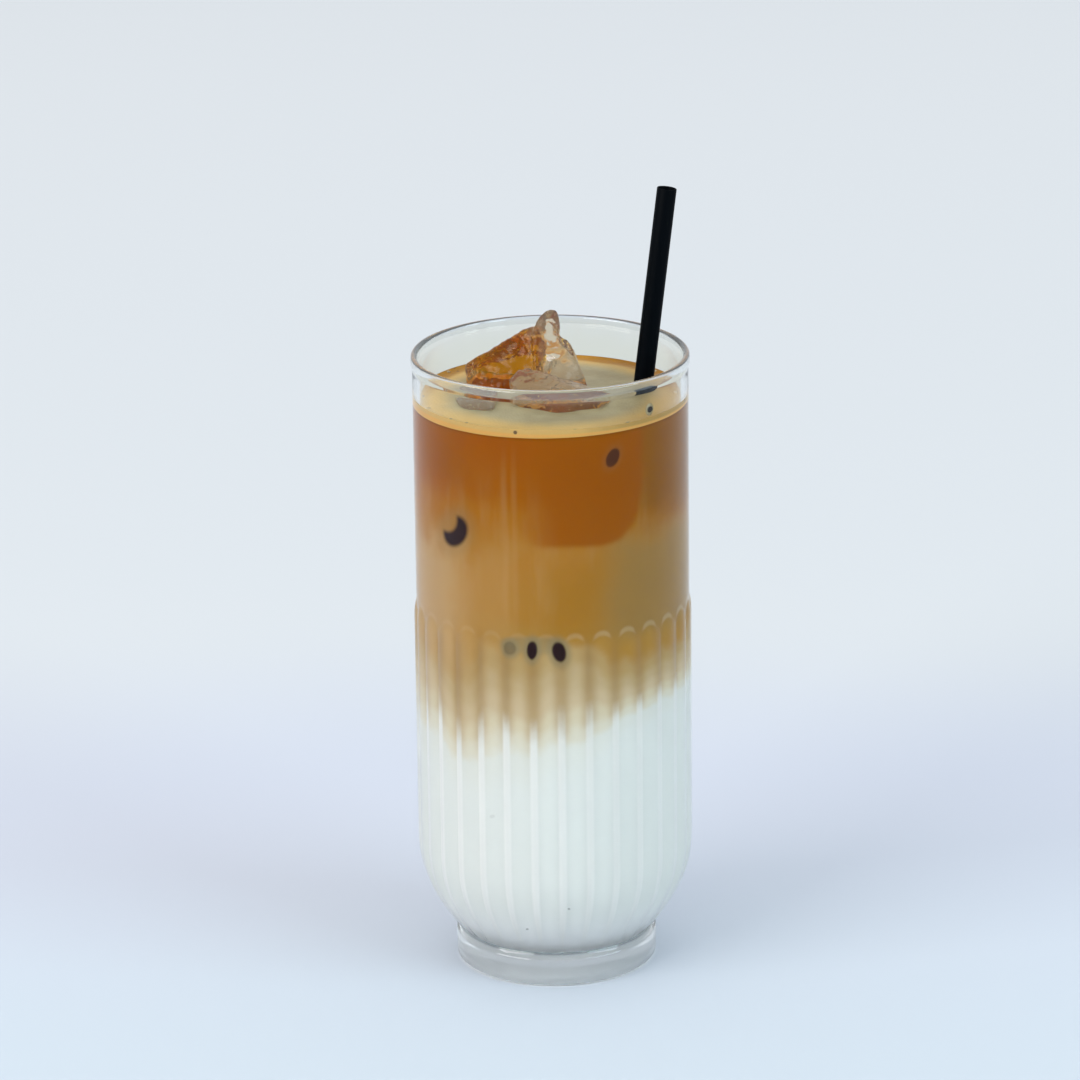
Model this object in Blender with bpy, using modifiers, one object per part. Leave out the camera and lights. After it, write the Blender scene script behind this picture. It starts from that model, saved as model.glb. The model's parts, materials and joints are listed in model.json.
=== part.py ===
"""Iced mocha in a tall ribbed glass on a short foot, with a black straw and three lumps of ice.

The drink stands in layers that show through the wall: white milk, milk mixed with coffee, dark
coffee and a thin foam. Metres, +Z up, origin at the middle of the ring that the foot rests on.
"""

import math

import bmesh
import bpy
from mathutils import Matrix, Vector

MM = 0.001

# Glass: heights and radii in millimetres
GLASS_HEIGHT = 162.8
RIM_RADIUS = 35.25
LIP_ROUNDING = 0.8
BAND_RADIUS = 35.0
RIM_BEAD_HEIGHT = 2.4
CAVITY_RADIUS = 33.3
CAVITY_LIP_FLARE = 0.45
FLOOR_HEIGHT = 9.6
FLOOR_RADIUS = 12.0

# Lower curve of the wall, from the straight side to the crease above the foot
CURVE_TOP = 34.0
CREASE_RADIUS = 25.0
CREASE_HEIGHT = 9.1
CURVE_TOP_HANDLE = 12.6
CURVE_CREASE_HANDLE = 7.4
CREASE_LEAN_DEG = 31.0
CURVE_PIECES = 6

# Ribs: rounded flutes side by side that stand out from the smooth band
RIB_COUNT = 30
RIB_HEIGHT = 0.6
RIB_FULL_TOP = 93.5
RIB_END_LENGTH = 4.8
RIB_END_FRACTIONS = (0.5, 0.82, 1.0)
RIB_CREST_DEG = 3.0
RIB_SHARE_AT_CREASE = 0.7
STEPS_PER_RIB = 6

# Foot
FOOT_RADIUS = 26.0
FOOT_SHOULDER = 1.0
FOOT_SHOULDER_START_DEG = 60.0
FOOT_BOTTOM_ROUNDING = 1.6
REST_RING_INNER = 20.5
RECESS_RADIUS = 18.5
RECESS_DEPTH = 1.2

# Drink: each layer's top at the axis, and how far it rises for each millimetre of X
MILK_TOP = 71.0
MILK_SLOPE = 0.12
MIXED_TOP = 123.0
MIXED_SLOPE = 0.08
COFFEE_TOP = 150.3
COFFEE_SLOPE = 0.012
FOAM_TOP = 151.9
DRINK_GAP = 0.3
CAVITY_STEPS = 60
CAVITY_CURVE_PIECES = 6

# Straw
STRAW_RADIUS = 2.5
STRAW_WALL = 0.3
STRAW_SURFACE_POINT = (23.5, 4.0, 151.9)
STRAW_TOP_POINT = (29.9, 6.0, 203.5)
STRAW_FOOT_HEIGHT = 10.4
STRAW_SIDES = 24

# Ice: corner points of each lump, joined by flat faces whose edges have melted round
ICE_PEAK_HORN = (
    (2.0, 8.0, 172.0),
    (-0.8, 8.0, 171.5),
    (-3.0, 8.0, 169.6),
    (-4.4, 6.6, 166.8),
    (-4.4, 4.0, 160.0),
    (2.6, 8.6, 169.2),
    (2.2, 7.2, 164.4),
    (2.0, 5.0, 158.0),
    (-0.4, 12.0, 167.6),
    (-2.6, 13.0, 158.0),
    (2.4, 12.4, 158.0),
)
ICE_PEAK_WEDGE = (
    (-3.0, 8.2, 169.0),
    (-22.2, 10.6, 156.8),
    (-20.8, 4.8, 151.0),
    (-4.0, 1.8, 152.6),
    (-1.0, 9.0, 166.0),
    (-2.0, 17.0, 157.0),
    (-18.0, 18.0, 152.4),
    (-19.0, 8.0, 143.0),
    (-4.0, 6.0, 138.0),
    (-6.0, 18.0, 143.0),
)
ICE_PEAK_FLANK = (
    (-4.2, 5.4, 163.0),
    (1.8, 7.0, 165.6),
    (4.7, 7.2, 163.8),
    (6.3, 7.0, 160.4),
    (6.9, 5.4, 157.4),
    (9.6, 5.0, 151.6),
    (-3.8, 1.4, 154.4),
    (4.4, 1.6, 152.0),
    (8.0, 13.0, 152.0),
    (3.0, 13.0, 160.0),
    (3.4, 7.0, 140.0),
    (-3.0, 5.0, 142.0),
)
ICE_FRONT = (
    (-10.4, -4.6, 157.4),
    (-8.2, -4.0, 159.6),
    (-5.6, -4.2, 160.0),
    (9.6, -3.4, 154.8),
    (16.2, -6.4, 151.4),
    (13.0, -13.6, 153.4),
    (1.0, -17.0, 153.8),
    (-8.6, -12.4, 154.2),
    (-9.6, -4.8, 144.0),
    (10.4, -5.6, 142.0),
    (3.0, -16.4, 140.0),
)
ICE_LOW = (
    (-25.2, -2.6, 151.6),
    (-17.4, -1.6, 153.6),
    (-13.0, -6.6, 154.4),
    (-14.0, -14.6, 153.2),
    (-22.0, -12.6, 153.6),
    (-24.4, -4.6, 144.0),
    (-15.4, -3.6, 143.0),
    (-17.0, -13.6, 141.0),
)
ICE = {
    "ice_peak": (ICE_PEAK_WEDGE, ICE_PEAK_FLANK, ICE_PEAK_HORN),
    "ice_front": (ICE_FRONT,),
    "ice_low": (ICE_LOW,),
}
ICE_EDGE_ROUNDING = 1.1
ICE_EDGE_SEGMENTS = 2
ICE_POCKET_GAP = 0.35
POCKET_REACH_LIMIT = 2.0

ROUNDING_PIECES = 2
MERGE_DISTANCE = 0.00001
FLAT_ANGLE = math.radians(4.0)
SHARP_ANGLE = math.radians(35.0)
OBJECT_NAME = "iced_mocha"


def clear_scene():
    """Remove every object that the scene starts with."""
    for item in list(bpy.data.objects):
        bpy.data.objects.remove(item, do_unlink=True)


def new_collection(name):
    """Make a collection under the scene's own."""
    collection = bpy.data.collections.new(name)
    bpy.context.scene.collection.children.link(collection)
    return collection


def new_material(name, colour, roughness, transmission=0.0, ior=1.45):
    """Make a Principled material of one plain finish."""
    material = bpy.data.materials.new(name)
    material.use_nodes = True
    shader = material.node_tree.nodes["Principled BSDF"]
    shader.inputs["Base Color"].default_value = (*colour, 1.0)
    shader.inputs["Roughness"].default_value = roughness
    shader.inputs["Metallic"].default_value = 0.0
    shader.inputs["Transmission Weight"].default_value = transmission
    shader.inputs["IOR"].default_value = ior
    material.diffuse_color = (*colour, 1.0)
    return material


def new_object(name, mesh, collection):
    """Put a mesh into a collection as a named object."""
    item = bpy.data.objects.new(name, mesh)
    collection.objects.link(item)
    return item


def finish(item, material):
    """Give an object its one material and smooth shading with sharp edges."""
    item.data.materials.clear()
    item.data.materials.append(material)
    item.data.shade_smooth()
    item.data.set_sharp_from_angle(angle=SHARP_ANGLE)
    return item


def make_cutter(item):
    """Show an object as a wire guide and keep it out of renders."""
    item.hide_render = True
    item.display_type = "WIRE"
    return item


def freeze(item):
    """Replace an object's mesh by its evaluated one and drop its modifiers."""
    evaluated = item.evaluated_get(bpy.context.evaluated_depsgraph_get())
    mesh = bpy.data.meshes.new_from_object(evaluated)
    item.modifiers.clear()
    item.data = mesh
    return item


def turned(name, profile, steps, collection, turn_deg=0.0):
    """Turn a profile of (radius, height) points, listed down its outer side, round the axis."""
    turn = Matrix.Rotation(math.radians(turn_deg), 3, "Z")
    shape = bmesh.new()
    points = [shape.verts.new(turn @ Vector((r * MM, 0.0, z * MM))) for r, z in profile]
    for upper, lower in zip(points, points[1:]):
        shape.edges.new((upper, lower))
    mesh = bpy.data.meshes.new(name)
    shape.to_mesh(mesh)
    shape.free()
    item = new_object(name, mesh, collection)
    screw = item.modifiers.new("turn", "SCREW")
    screw.steps = steps
    screw.render_steps = steps
    screw.use_merge_vertices = True
    screw.merge_threshold = MERGE_DISTANCE
    screw.use_smooth_shade = True
    return freeze(item)


def combine(item, other, operation):
    """Cut or join an object with another by a Boolean, and apply it."""
    boolean = item.modifiers.new(operation.lower(), "BOOLEAN")
    boolean.object = other
    boolean.operation = operation
    bpy.context.view_layer.update()
    return freeze(item)


def arc(centre, radius, start_deg, end_deg, pieces):
    """List the points of an arc round a centre in the profile's plane."""
    points = []
    for step in range(pieces + 1):
        angle = math.radians(start_deg + (end_deg - start_deg) * step / pieces)
        points.append((centre[0] + radius * math.cos(angle), centre[1] + radius * math.sin(angle)))
    return points


def lower_curve():
    """List the wall's outer points from the straight side down to the crease."""
    lean = math.radians(CREASE_LEAN_DEG)
    start = Vector((BAND_RADIUS, CURVE_TOP))
    end = Vector((CREASE_RADIUS, CREASE_HEIGHT))
    start_handle = start - Vector((0.0, CURVE_TOP_HANDLE))
    end_handle = end + CURVE_CREASE_HANDLE * Vector((math.sin(lean), math.cos(lean)))
    points = []
    for step in range(CURVE_PIECES + 1):
        t = step / CURVE_PIECES
        point = (
            (1 - t) ** 3 * start
            + 3 * (1 - t) ** 2 * t * start_handle
            + 3 * (1 - t) * t**2 * end_handle
            + t**3 * end
        )
        points.append((point.x, point.y))
    return points


def glass_profile():
    """List the blank's outer points from the middle of its top to the middle of its underside."""
    lip_centre = (RIM_RADIUS - LIP_ROUNDING, GLASS_HEIGHT - LIP_ROUNDING)
    lip = arc(lip_centre, LIP_ROUNDING, 90.0, 0.0, ROUNDING_PIECES)
    bead_foot = (BAND_RADIUS, GLASS_HEIGHT - RIM_BEAD_HEIGHT)
    rib_ends = [
        (BAND_RADIUS, RIB_FULL_TOP + RIB_END_LENGTH * share) for share in reversed(RIB_END_FRACTIONS)
    ]
    shoulder_centre = (FOOT_RADIUS - FOOT_SHOULDER, CREASE_HEIGHT - 2 * FOOT_SHOULDER)
    shoulder = arc(shoulder_centre, FOOT_SHOULDER, FOOT_SHOULDER_START_DEG, 0.0, ROUNDING_PIECES)
    foot_centre = (FOOT_RADIUS - FOOT_BOTTOM_ROUNDING, FOOT_BOTTOM_ROUNDING)
    foot = arc(foot_centre, FOOT_BOTTOM_ROUNDING, 0.0, -90.0, ROUNDING_PIECES)
    underside = [(REST_RING_INNER, 0.0), (RECESS_RADIUS, RECESS_DEPTH), (0.0, RECESS_DEPTH)]
    return (
        [(0.0, GLASS_HEIGHT)]
        + lip
        + [bead_foot]
        + rib_ends
        + [(BAND_RADIUS, RIB_FULL_TOP)]
        + lower_curve()
        + shoulder
        + foot
        + underside
    )


def cavity_profile(inset=0.0):
    """List the points of the glass's inner wall and floor, drawn in by an inset."""
    width = CAVITY_RADIUS - inset - FLOOR_RADIUS
    depth = CURVE_TOP - FLOOR_HEIGHT - inset
    points = []
    for step in range(CAVITY_CURVE_PIECES + 1):
        angle = math.pi / 2 * step / CAVITY_CURVE_PIECES
        points.append((FLOOR_RADIUS + width * math.cos(angle), CURVE_TOP - depth * math.sin(angle)))
    return points + [(0.0, FLOOR_HEIGHT + inset)]


def rib_rise(azimuth_deg, height):
    """Give how far the ribs stand out of the band at an azimuth and a height, in millimetres."""
    pitch = 360.0 / RIB_COUNT
    across = ((azimuth_deg - RIB_CREST_DEG + pitch / 2) % pitch - pitch / 2) / (pitch / 2)
    beyond = max(0.0, (height - RIB_FULL_TOP) / RIB_END_LENGTH)
    if height >= CURVE_TOP:
        share = 1.0
    else:
        along = (CURVE_TOP - height) / (CURVE_TOP - CREASE_HEIGHT)
        share = 1.0 - (1.0 - RIB_SHARE_AT_CREASE) * along
    return RIB_HEIGHT * share * max(0.0, 1.0 - across**2 - beyond**2)


def raise_ribs(item):
    """Push the blank's wall out along its normals into ribs."""
    shape = bmesh.new()
    shape.from_mesh(item.data)
    shape.normal_update()
    moves = []
    for vert in shape.verts:
        height = vert.co.z / MM
        if height < CREASE_HEIGHT + MERGE_DISTANCE / MM or height > RIB_FULL_TOP + RIB_END_LENGTH:
            continue
        azimuth = math.degrees(math.atan2(vert.co.y, vert.co.x))
        moves.append((vert, vert.normal.copy() * rib_rise(azimuth, height) * MM))
    for vert, move in moves:
        vert.co += move
    shape.to_mesh(item.data)
    shape.free()


def make_glass(collection, guides, material):
    """Make the ribbed glass: a turned blank with ribs, hollowed by a turned cavity."""
    steps = RIB_COUNT * STEPS_PER_RIB
    glass = turned("glass", glass_profile(), steps, collection, turn_deg=180.0 / steps)
    raise_ribs(glass)
    above = GLASS_HEIGHT + RIM_BEAD_HEIGHT
    flare = CAVITY_LIP_FLARE * (1.0 + RIM_BEAD_HEIGHT / LIP_ROUNDING)
    mouth = [
        (0.0, above),
        (CAVITY_RADIUS + flare, above),
        (CAVITY_RADIUS, GLASS_HEIGHT - LIP_ROUNDING),
    ]
    cavity = make_cutter(turned("cavity", mouth + cavity_profile(), CAVITY_STEPS, guides))
    return finish(combine(glass, cavity, "DIFFERENCE"), material)


def level(top, slope, x):
    """Give the height in metres of a layer's edge at a place X in metres."""
    return top * MM + slope * x


def layer(name, lower, upper, collection, material):
    """Make one layer of the drink between two sloping levels, or from the floor up.

    Each level is its height at the axis and its slope along X; lower is None for the first layer.
    """
    radius = CAVITY_RADIUS - DRINK_GAP
    top_profile = [(0.0, upper[0]), (radius, upper[0])]
    if lower is None:
        bottom_profile = cavity_profile(DRINK_GAP)
    else:
        bottom_profile = [(radius, lower[0] + DRINK_GAP), (0.0, lower[0] + DRINK_GAP)]
    item = turned(name, top_profile + bottom_profile, CAVITY_STEPS, collection)
    for vert in item.data.vertices:
        if abs(vert.co.z - upper[0] * MM) < MERGE_DISTANCE:
            vert.co.z = level(upper[0], upper[1], vert.co.x)
        elif lower is not None:
            vert.co.z = level(lower[0] + DRINK_GAP, lower[1], vert.co.x)
    return finish(item, material)


def wrap(shape):
    """Close a cloud of corner points with flat outer faces and drop what lies inside."""
    bmesh.ops.convex_hull(shape, input=shape.verts)
    loose = [vert for vert in shape.verts if not vert.link_faces]
    bmesh.ops.delete(shape, geom=loose, context="VERTS")
    shape.normal_update()


def lump_mesh(name, corners):
    """Make a closed lump through its corners, with its edges melted round."""
    shape = bmesh.new()
    for corner in corners:
        shape.verts.new(Vector(corner) * MM)
    wrap(shape)
    bmesh.ops.dissolve_limit(shape, angle_limit=FLAT_ANGLE, verts=shape.verts, edges=shape.edges)
    bmesh.ops.bevel(
        shape,
        geom=shape.edges,
        offset=ICE_EDGE_ROUNDING * MM,
        segments=ICE_EDGE_SEGMENTS,
        profile=0.5,
        affect="EDGES",
        material=-1,
        clamp_overlap=True,
    )
    bmesh.ops.remove_doubles(shape, verts=shape.verts, dist=MERGE_DISTANCE)
    bmesh.ops.recalc_face_normals(shape, faces=shape.faces)
    mesh = bpy.data.meshes.new(name)
    shape.to_mesh(mesh)
    shape.free()
    return mesh


def make_ice(name, lumps, collection, guides, material):
    """Make a piece of ice from one or more lumps joined together."""
    piece = new_object(name, lump_mesh(name, lumps[0]), collection)
    for index, corners in enumerate(lumps[1:]):
        extra_name = f"{name}_lump_{index}"
        extra = make_cutter(new_object(extra_name, lump_mesh(extra_name, corners), guides))
        combine(piece, extra, "UNION")
    return finish(piece, material)


def pocket(name, corners, guides):
    """Make a cutter a gap larger all round than a lump, for its place in the drink."""
    shape = bmesh.new()
    for corner in corners:
        shape.verts.new(Vector(corner) * MM)
    wrap(shape)
    for vert in list(shape.verts):
        reach = ICE_POCKET_GAP * MM * min(vert.calc_shell_factor(), POCKET_REACH_LIMIT)
        shape.verts.new(vert.co + vert.normal * reach)
    wrap(shape)
    mesh = bpy.data.meshes.new(name)
    shape.to_mesh(mesh)
    shape.free()
    return make_cutter(new_object(name, mesh, guides))


def straw_place():
    """Give the straw's lower end, its length and its lean as a rotation."""
    surface = Vector(STRAW_SURFACE_POINT) * MM
    top = Vector(STRAW_TOP_POINT) * MM
    up = (top - surface).normalized()
    foot = surface - up * ((surface.z - STRAW_FOOT_HEIGHT * MM) / up.z)
    return foot, (top - foot).length, up.to_track_quat("Z", "Y").to_euler()


def rod(name, start, end, radius, collection):
    """Make a round bar along Z from one height to another, as a mesh from a beveled curve."""
    curve = bpy.data.curves.new(name, "CURVE")
    curve.dimensions = "3D"
    curve.bevel_depth = radius
    curve.bevel_resolution = (STRAW_SIDES - 4) // 2
    curve.use_fill_caps = True
    spline = curve.splines.new("POLY")
    spline.points.add(1)
    spline.points[0].co = (0.0, 0.0, start, 1.0)
    spline.points[1].co = (0.0, 0.0, end, 1.0)
    source = bpy.data.objects.new(name + "_curve", curve)
    collection.objects.link(source)
    mesh = bpy.data.meshes.new_from_object(
        source.evaluated_get(bpy.context.evaluated_depsgraph_get())
    )
    place = source.matrix_world.copy()
    bpy.data.objects.remove(source, do_unlink=True)
    shape = bmesh.new()
    shape.from_mesh(mesh)
    bmesh.ops.remove_doubles(shape, verts=shape.verts, dist=MERGE_DISTANCE)
    bmesh.ops.recalc_face_normals(shape, faces=shape.faces)
    shape.to_mesh(mesh)
    shape.free()
    item = new_object(name, mesh, collection)
    item.matrix_world = place
    return item


def lean(item):
    """Stand a rod at the straw's lower end and lean it as the straw leans."""
    item.location, _, item.rotation_euler = straw_place()
    return item


def make_straw(collection, guides, material):
    """Make the straw, a thin open tube that leans to the right."""
    length = straw_place()[1]
    overrun = STRAW_RADIUS * MM
    bore_radius = (STRAW_RADIUS - STRAW_WALL) * MM
    straw = rod("straw", 0.0, length, STRAW_RADIUS * MM, collection)
    bore = make_cutter(rod("straw_bore", -overrun, length + overrun, bore_radius, guides))
    return lean(finish(combine(straw, bore, "DIFFERENCE"), material))


def straw_channel(guides):
    """Make the bar that clears the straw's way through the drink."""
    overrun = FLOOR_HEIGHT * MM
    clearance = (STRAW_RADIUS + DRINK_GAP) * MM
    channel = rod("straw_channel", -overrun, straw_place()[1] + overrun, clearance, guides)
    return make_cutter(lean(channel))


def main():
    """Build the glass, the layers of the drink, the ice and the straw."""
    clear_scene()
    parts = new_collection(OBJECT_NAME)
    guides = new_collection(OBJECT_NAME + "_cutters")

    clear = new_material("clear_glass", (0.93, 0.96, 0.96), 0.02, transmission=1.0, ior=1.5)
    milk_white = new_material("milk", (0.86, 0.88, 0.86), 0.35)
    milky_coffee = new_material("milk_with_coffee", (0.42, 0.24, 0.09), 0.35)
    dark_coffee = new_material("dark_coffee", (0.26, 0.09, 0.005), 0.3)
    cream_foam = new_material("cream_foam", (0.68, 0.58, 0.4), 0.6)
    ice_clear = new_material("ice", (0.85, 0.8, 0.76), 0.15, transmission=0.8, ior=1.31)
    black = new_material("black_plastic", (0.006, 0.007, 0.01), 0.35)

    make_glass(parts, guides, clear)
    make_straw(parts, guides, black)
    for name, lumps in ICE.items():
        make_ice(name, lumps, parts, guides, ice_clear)

    milk_level = (MILK_TOP, MILK_SLOPE)
    mixed_level = (MIXED_TOP, MIXED_SLOPE)
    coffee_level = (COFFEE_TOP, COFFEE_SLOPE)
    milk = layer("milk", None, milk_level, parts, milk_white)
    mixed = layer("milk_coffee", milk_level, mixed_level, parts, milky_coffee)
    coffee = layer("coffee", mixed_level, coffee_level, parts, dark_coffee)
    foam = layer("foam", coffee_level, (FOAM_TOP, 0.0), parts, cream_foam)

    channel = straw_channel(guides)
    for liquid in (milk, mixed, coffee, foam):
        combine(liquid, channel, "DIFFERENCE")
    for name, lumps in ICE.items():
        for index, corners in enumerate(lumps):
            space = pocket(f"{name}_pocket_{index}", corners, guides)
            combine(coffee, space, "DIFFERENCE")
            combine(foam, space, "DIFFERENCE")

    stand = bpy.data.objects.new(OBJECT_NAME, None)
    parts.objects.link(stand)
    for item in parts.objects:
        if item is not stand:
            item.parent = stand


if __name__ == "__main__":
    main()
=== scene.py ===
"""Iced mocha in a tall ribbed glass on a short foot: the dressed model, its light and its camera.

Sizes in the classes are in millimetres, as on a drawing, and become metres where a mesh or a
material is made. The scales of noises and cells in materials count for each metre. Azimuths in
materials count from the front to the right. -Y faces the camera, +X is on the right, and the foot
stands on Z = 0.
"""

import json
import logging
import math
import random
from dataclasses import dataclass
from enum import Enum
from functools import reduce
from typing import Iterable, Optional, Sequence, Union

import bmesh
import bpy
from mathutils import Matrix, Vector, noise

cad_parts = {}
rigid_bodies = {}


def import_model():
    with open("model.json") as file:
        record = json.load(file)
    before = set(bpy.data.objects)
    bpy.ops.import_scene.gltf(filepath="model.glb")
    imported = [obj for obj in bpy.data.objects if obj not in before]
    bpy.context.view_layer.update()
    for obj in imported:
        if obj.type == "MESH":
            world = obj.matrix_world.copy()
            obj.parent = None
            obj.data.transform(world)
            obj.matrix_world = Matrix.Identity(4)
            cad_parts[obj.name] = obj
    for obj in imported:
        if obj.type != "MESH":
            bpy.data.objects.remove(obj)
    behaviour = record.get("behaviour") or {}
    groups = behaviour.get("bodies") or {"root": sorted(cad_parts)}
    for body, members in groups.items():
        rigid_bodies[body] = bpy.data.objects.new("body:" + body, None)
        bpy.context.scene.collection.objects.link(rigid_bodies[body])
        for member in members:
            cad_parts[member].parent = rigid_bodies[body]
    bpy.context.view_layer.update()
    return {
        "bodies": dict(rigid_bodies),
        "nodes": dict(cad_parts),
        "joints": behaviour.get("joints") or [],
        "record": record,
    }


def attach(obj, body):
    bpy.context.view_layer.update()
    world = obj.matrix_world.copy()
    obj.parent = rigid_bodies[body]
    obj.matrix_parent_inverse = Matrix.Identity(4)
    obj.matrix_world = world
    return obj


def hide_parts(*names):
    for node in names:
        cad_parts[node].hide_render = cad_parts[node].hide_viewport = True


MM = 0.001
MERGE_DISTANCE = 1e-7
Span = tuple[float, float]
Point2 = tuple[float, float]
Point3 = tuple[float, float, float]
Point4 = tuple[float, float, float, float]
Colour = tuple[float, float, float]
Stops = tuple[tuple[float, Colour], ...]
Socket = bpy.types.NodeSocket
Value = Union[float, tuple, Socket]
log = logging.getLogger("iced_mocha")


def metres(lengths: Iterable[float]) -> tuple[float, ...]:
    """Turn millimetres into metres."""
    return tuple(length * MM for length in lengths)


class Slot(Enum):
    """Material slots of the part's record."""

    GLASS = "clear_glass"
    COFFEE = "coffee"
    FOAM = "foam"
    ICE = "ice"
    STRAW = "black_straw"


# Node trees


@dataclass(frozen=True)
class Grain:
    """How coarse, how detailed and how rough a noise is."""

    scale: float
    detail: float = 3.0
    roughness: float = 0.5

    def sockets(self) -> dict[str, float]:
        """Give its values by the names of a noise's sockets."""
        return {"Scale": self.scale, "Detail": self.detail, "Roughness": self.roughness}


class Tree:
    """A Principled material whose node tree is written in short calls."""

    def __init__(self, name: str, colour: Value = (1.0, 1.0, 1.0)) -> None:
        """Start a Principled material.

        Args:
            name: the material's name.
            colour: its first colour, which others can cover.
        """
        self.colour = colour
        self.material = bpy.data.materials.new(name)
        self.material.use_nodes = True
        self.nodes = self.material.node_tree.nodes
        self.links = self.material.node_tree.links
        self.shader = self.nodes["Principled BSDF"]

    def add(self, kind: str, inputs: Optional[dict] = None, **settings: object) -> bpy.types.Node:
        """Add a node, set its properties, and set or link its inputs.

        Args:
            kind: the node's type name.
            inputs: socket name or index to a value or an output socket.
            settings: the node's own properties.

        Returns:
            The new node.
        """
        node = self.nodes.new(kind)
        for key, value in settings.items():
            setattr(node, key, value)
        for key, value in (inputs or {}).items():
            self.put(node.inputs[key], value)
        return node

    def put(self, socket: Socket, value: Value) -> None:
        """Link an output to a socket, or set the socket's value.

        Args:
            socket: the input socket.
            value: an output socket, a number or a tuple.
        """
        if isinstance(value, Socket):
            self.links.new(value, socket)
        elif isinstance(value, tuple) and len(value) == 3 and socket.type == "RGBA":
            socket.default_value = (*value, 1.0)
        else:
            socket.default_value = value

    def place(self) -> Socket:
        """Give the Object coordinates, in metres."""
        return self.add("ShaderNodeTexCoord").outputs["Object"]

    def axes(self, vector: Value) -> bpy.types.NodeOutputs:
        """Split a vector into X, Y and Z."""
        return self.add("ShaderNodeSeparateXYZ", {0: vector}).outputs

    def math(self, operation: str, first: Value, second: Value = 0.0, clamp: bool = False) -> Socket:
        """Add a Math node, clamped from 0 to 1 or not."""
        inputs = {0: first, 1: second}
        return self.add("ShaderNodeMath", inputs, operation=operation, use_clamp=clamp).outputs[0]

    def product(self, *values: Value) -> Socket:
        """Multiply all the values."""
        return reduce(lambda first, second: self.math("MULTIPLY", first, second), values)

    def total(self, *values: Value) -> Socket:
        """Add all the values."""
        return reduce(lambda first, second: self.math("ADD", first, second), values)

    def vector(self, operation: str, first: Value, second: Value) -> Socket:
        """Add a Vector Math node and give its vector."""
        inputs = {0: first, 1: second}
        return self.add("ShaderNodeVectorMath", inputs, operation=operation).outputs["Vector"]

    def distance(self, first: Value, second: Value = (0.0, 0.0, 0.0)) -> Socket:
        """Measure how far apart two places are."""
        inputs = {0: first, 1: second}
        return self.add("ShaderNodeVectorMath", inputs, operation="DISTANCE").outputs["Value"]

    def radius(self, place: Socket) -> Socket:
        """Measure how far a place is from the glass's axis."""
        return self.distance(self.vector("MULTIPLY", place, (1.0, 1.0, 0.0)))

    def drawn(self, place: Socket, share: float) -> Socket:
        """Shrink a place's height, so that noise on it is drawn out upward."""
        return self.vector("MULTIPLY", place, (1.0, 1.0, share))

    def noise(self, vector: Value, grain: Grain, output: str = "Fac") -> Socket:
        """Add a Noise Texture and give one of its outputs, from 0 to 1."""
        inputs = {"Vector": vector, **grain.sockets()}
        return self.add("ShaderNodeTexNoise", inputs).outputs[output]

    def sway(self, vector: Value, grain: Grain) -> Socket:
        """Add a noise that swings from -0.5 to 0.5."""
        return self.math("SUBTRACT", self.noise(vector, grain), 0.5)

    def cells(self, vector: Value, scale: float, feature: str = "F1") -> Socket:
        """Add a Voronoi Texture and give its distance."""
        inputs = {"Vector": vector, "Scale": scale}
        return self.add("ShaderNodeTexVoronoi", inputs, feature=feature).outputs["Distance"]

    def step(
        self, value: Value, start: float, end: float, low: float = 0.0, high: float = 1.0
    ) -> Socket:
        """Step smoothly from the low to the high result, between the start and the end."""
        inputs = {"Value": value, "From Min": start, "From Max": end, "To Min": low, "To Max": high}
        return self.add("ShaderNodeMapRange", inputs, interpolation_type="SMOOTHSTEP").outputs["Result"]

    def window(self, value: Value, begin: float, full: float, fade: float, end: float) -> Socket:
        """Rise smoothly from 0 to 1 between begin and full, and fall between fade and end."""
        return self.product(self.step(value, begin, full), self.step(value, end, fade))

    def cover(self, share: Value, colour: Value, blend: str = "MIX") -> None:
        """Mix another colour into the material's colour by its share.

        Args:
            share: how much of the other colour.
            colour: the other colour.
            blend: the blend mode.
        """
        inputs = {"Factor": share, "A": self.colour, "B": colour}
        node = self.add("ShaderNodeMix", inputs, data_type="RGBA", blend_type=blend)
        self.colour = node.outputs["Result"]

    def ramp(self, value: Value, stops: Stops) -> Socket:
        """Add a colour ramp over the range of its stops.

        Args:
            value: the position along the ramp.
            stops: positions and colours, in order.

        Returns:
            The ramp's colour output.
        """
        low, high = stops[0][0], stops[-1][0]
        share = self.math("DIVIDE", self.math("SUBTRACT", value, low), high - low, clamp=True)
        node = self.add("ShaderNodeValToRGB", {"Fac": share})
        node.color_ramp.interpolation = "EASE"
        elements = node.color_ramp.elements
        while len(elements) < len(stops):
            elements.new(1.0)
        for element, (position, colour) in zip(elements, stops):
            element.position = (position - low) / (high - low)
            element.color = (*colour, 1.0)
        return node.outputs["Color"]

    def bump(self, height: Socket, strength: float, depth: float) -> None:
        """Drive the shader's normal by a height of some depth in millimetres."""
        inputs = {"Height": height, "Strength": strength, "Distance": depth * MM}
        self.put(self.shader.inputs["Normal"], self.add("ShaderNodeBump", inputs).outputs["Normal"])

    def finish(self, **inputs: Value) -> bpy.types.Material:
        """Set the shader's colour and its other sockets.

        Args:
            inputs: socket names, with _ for a space, to values or outputs.

        Returns:
            The material.
        """
        for key, value in {"Base_Color": self.colour, **inputs}.items():
            self.put(self.shader.inputs[key.replace("_", " ")], value)
        return self.material


# Shared geometry


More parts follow.
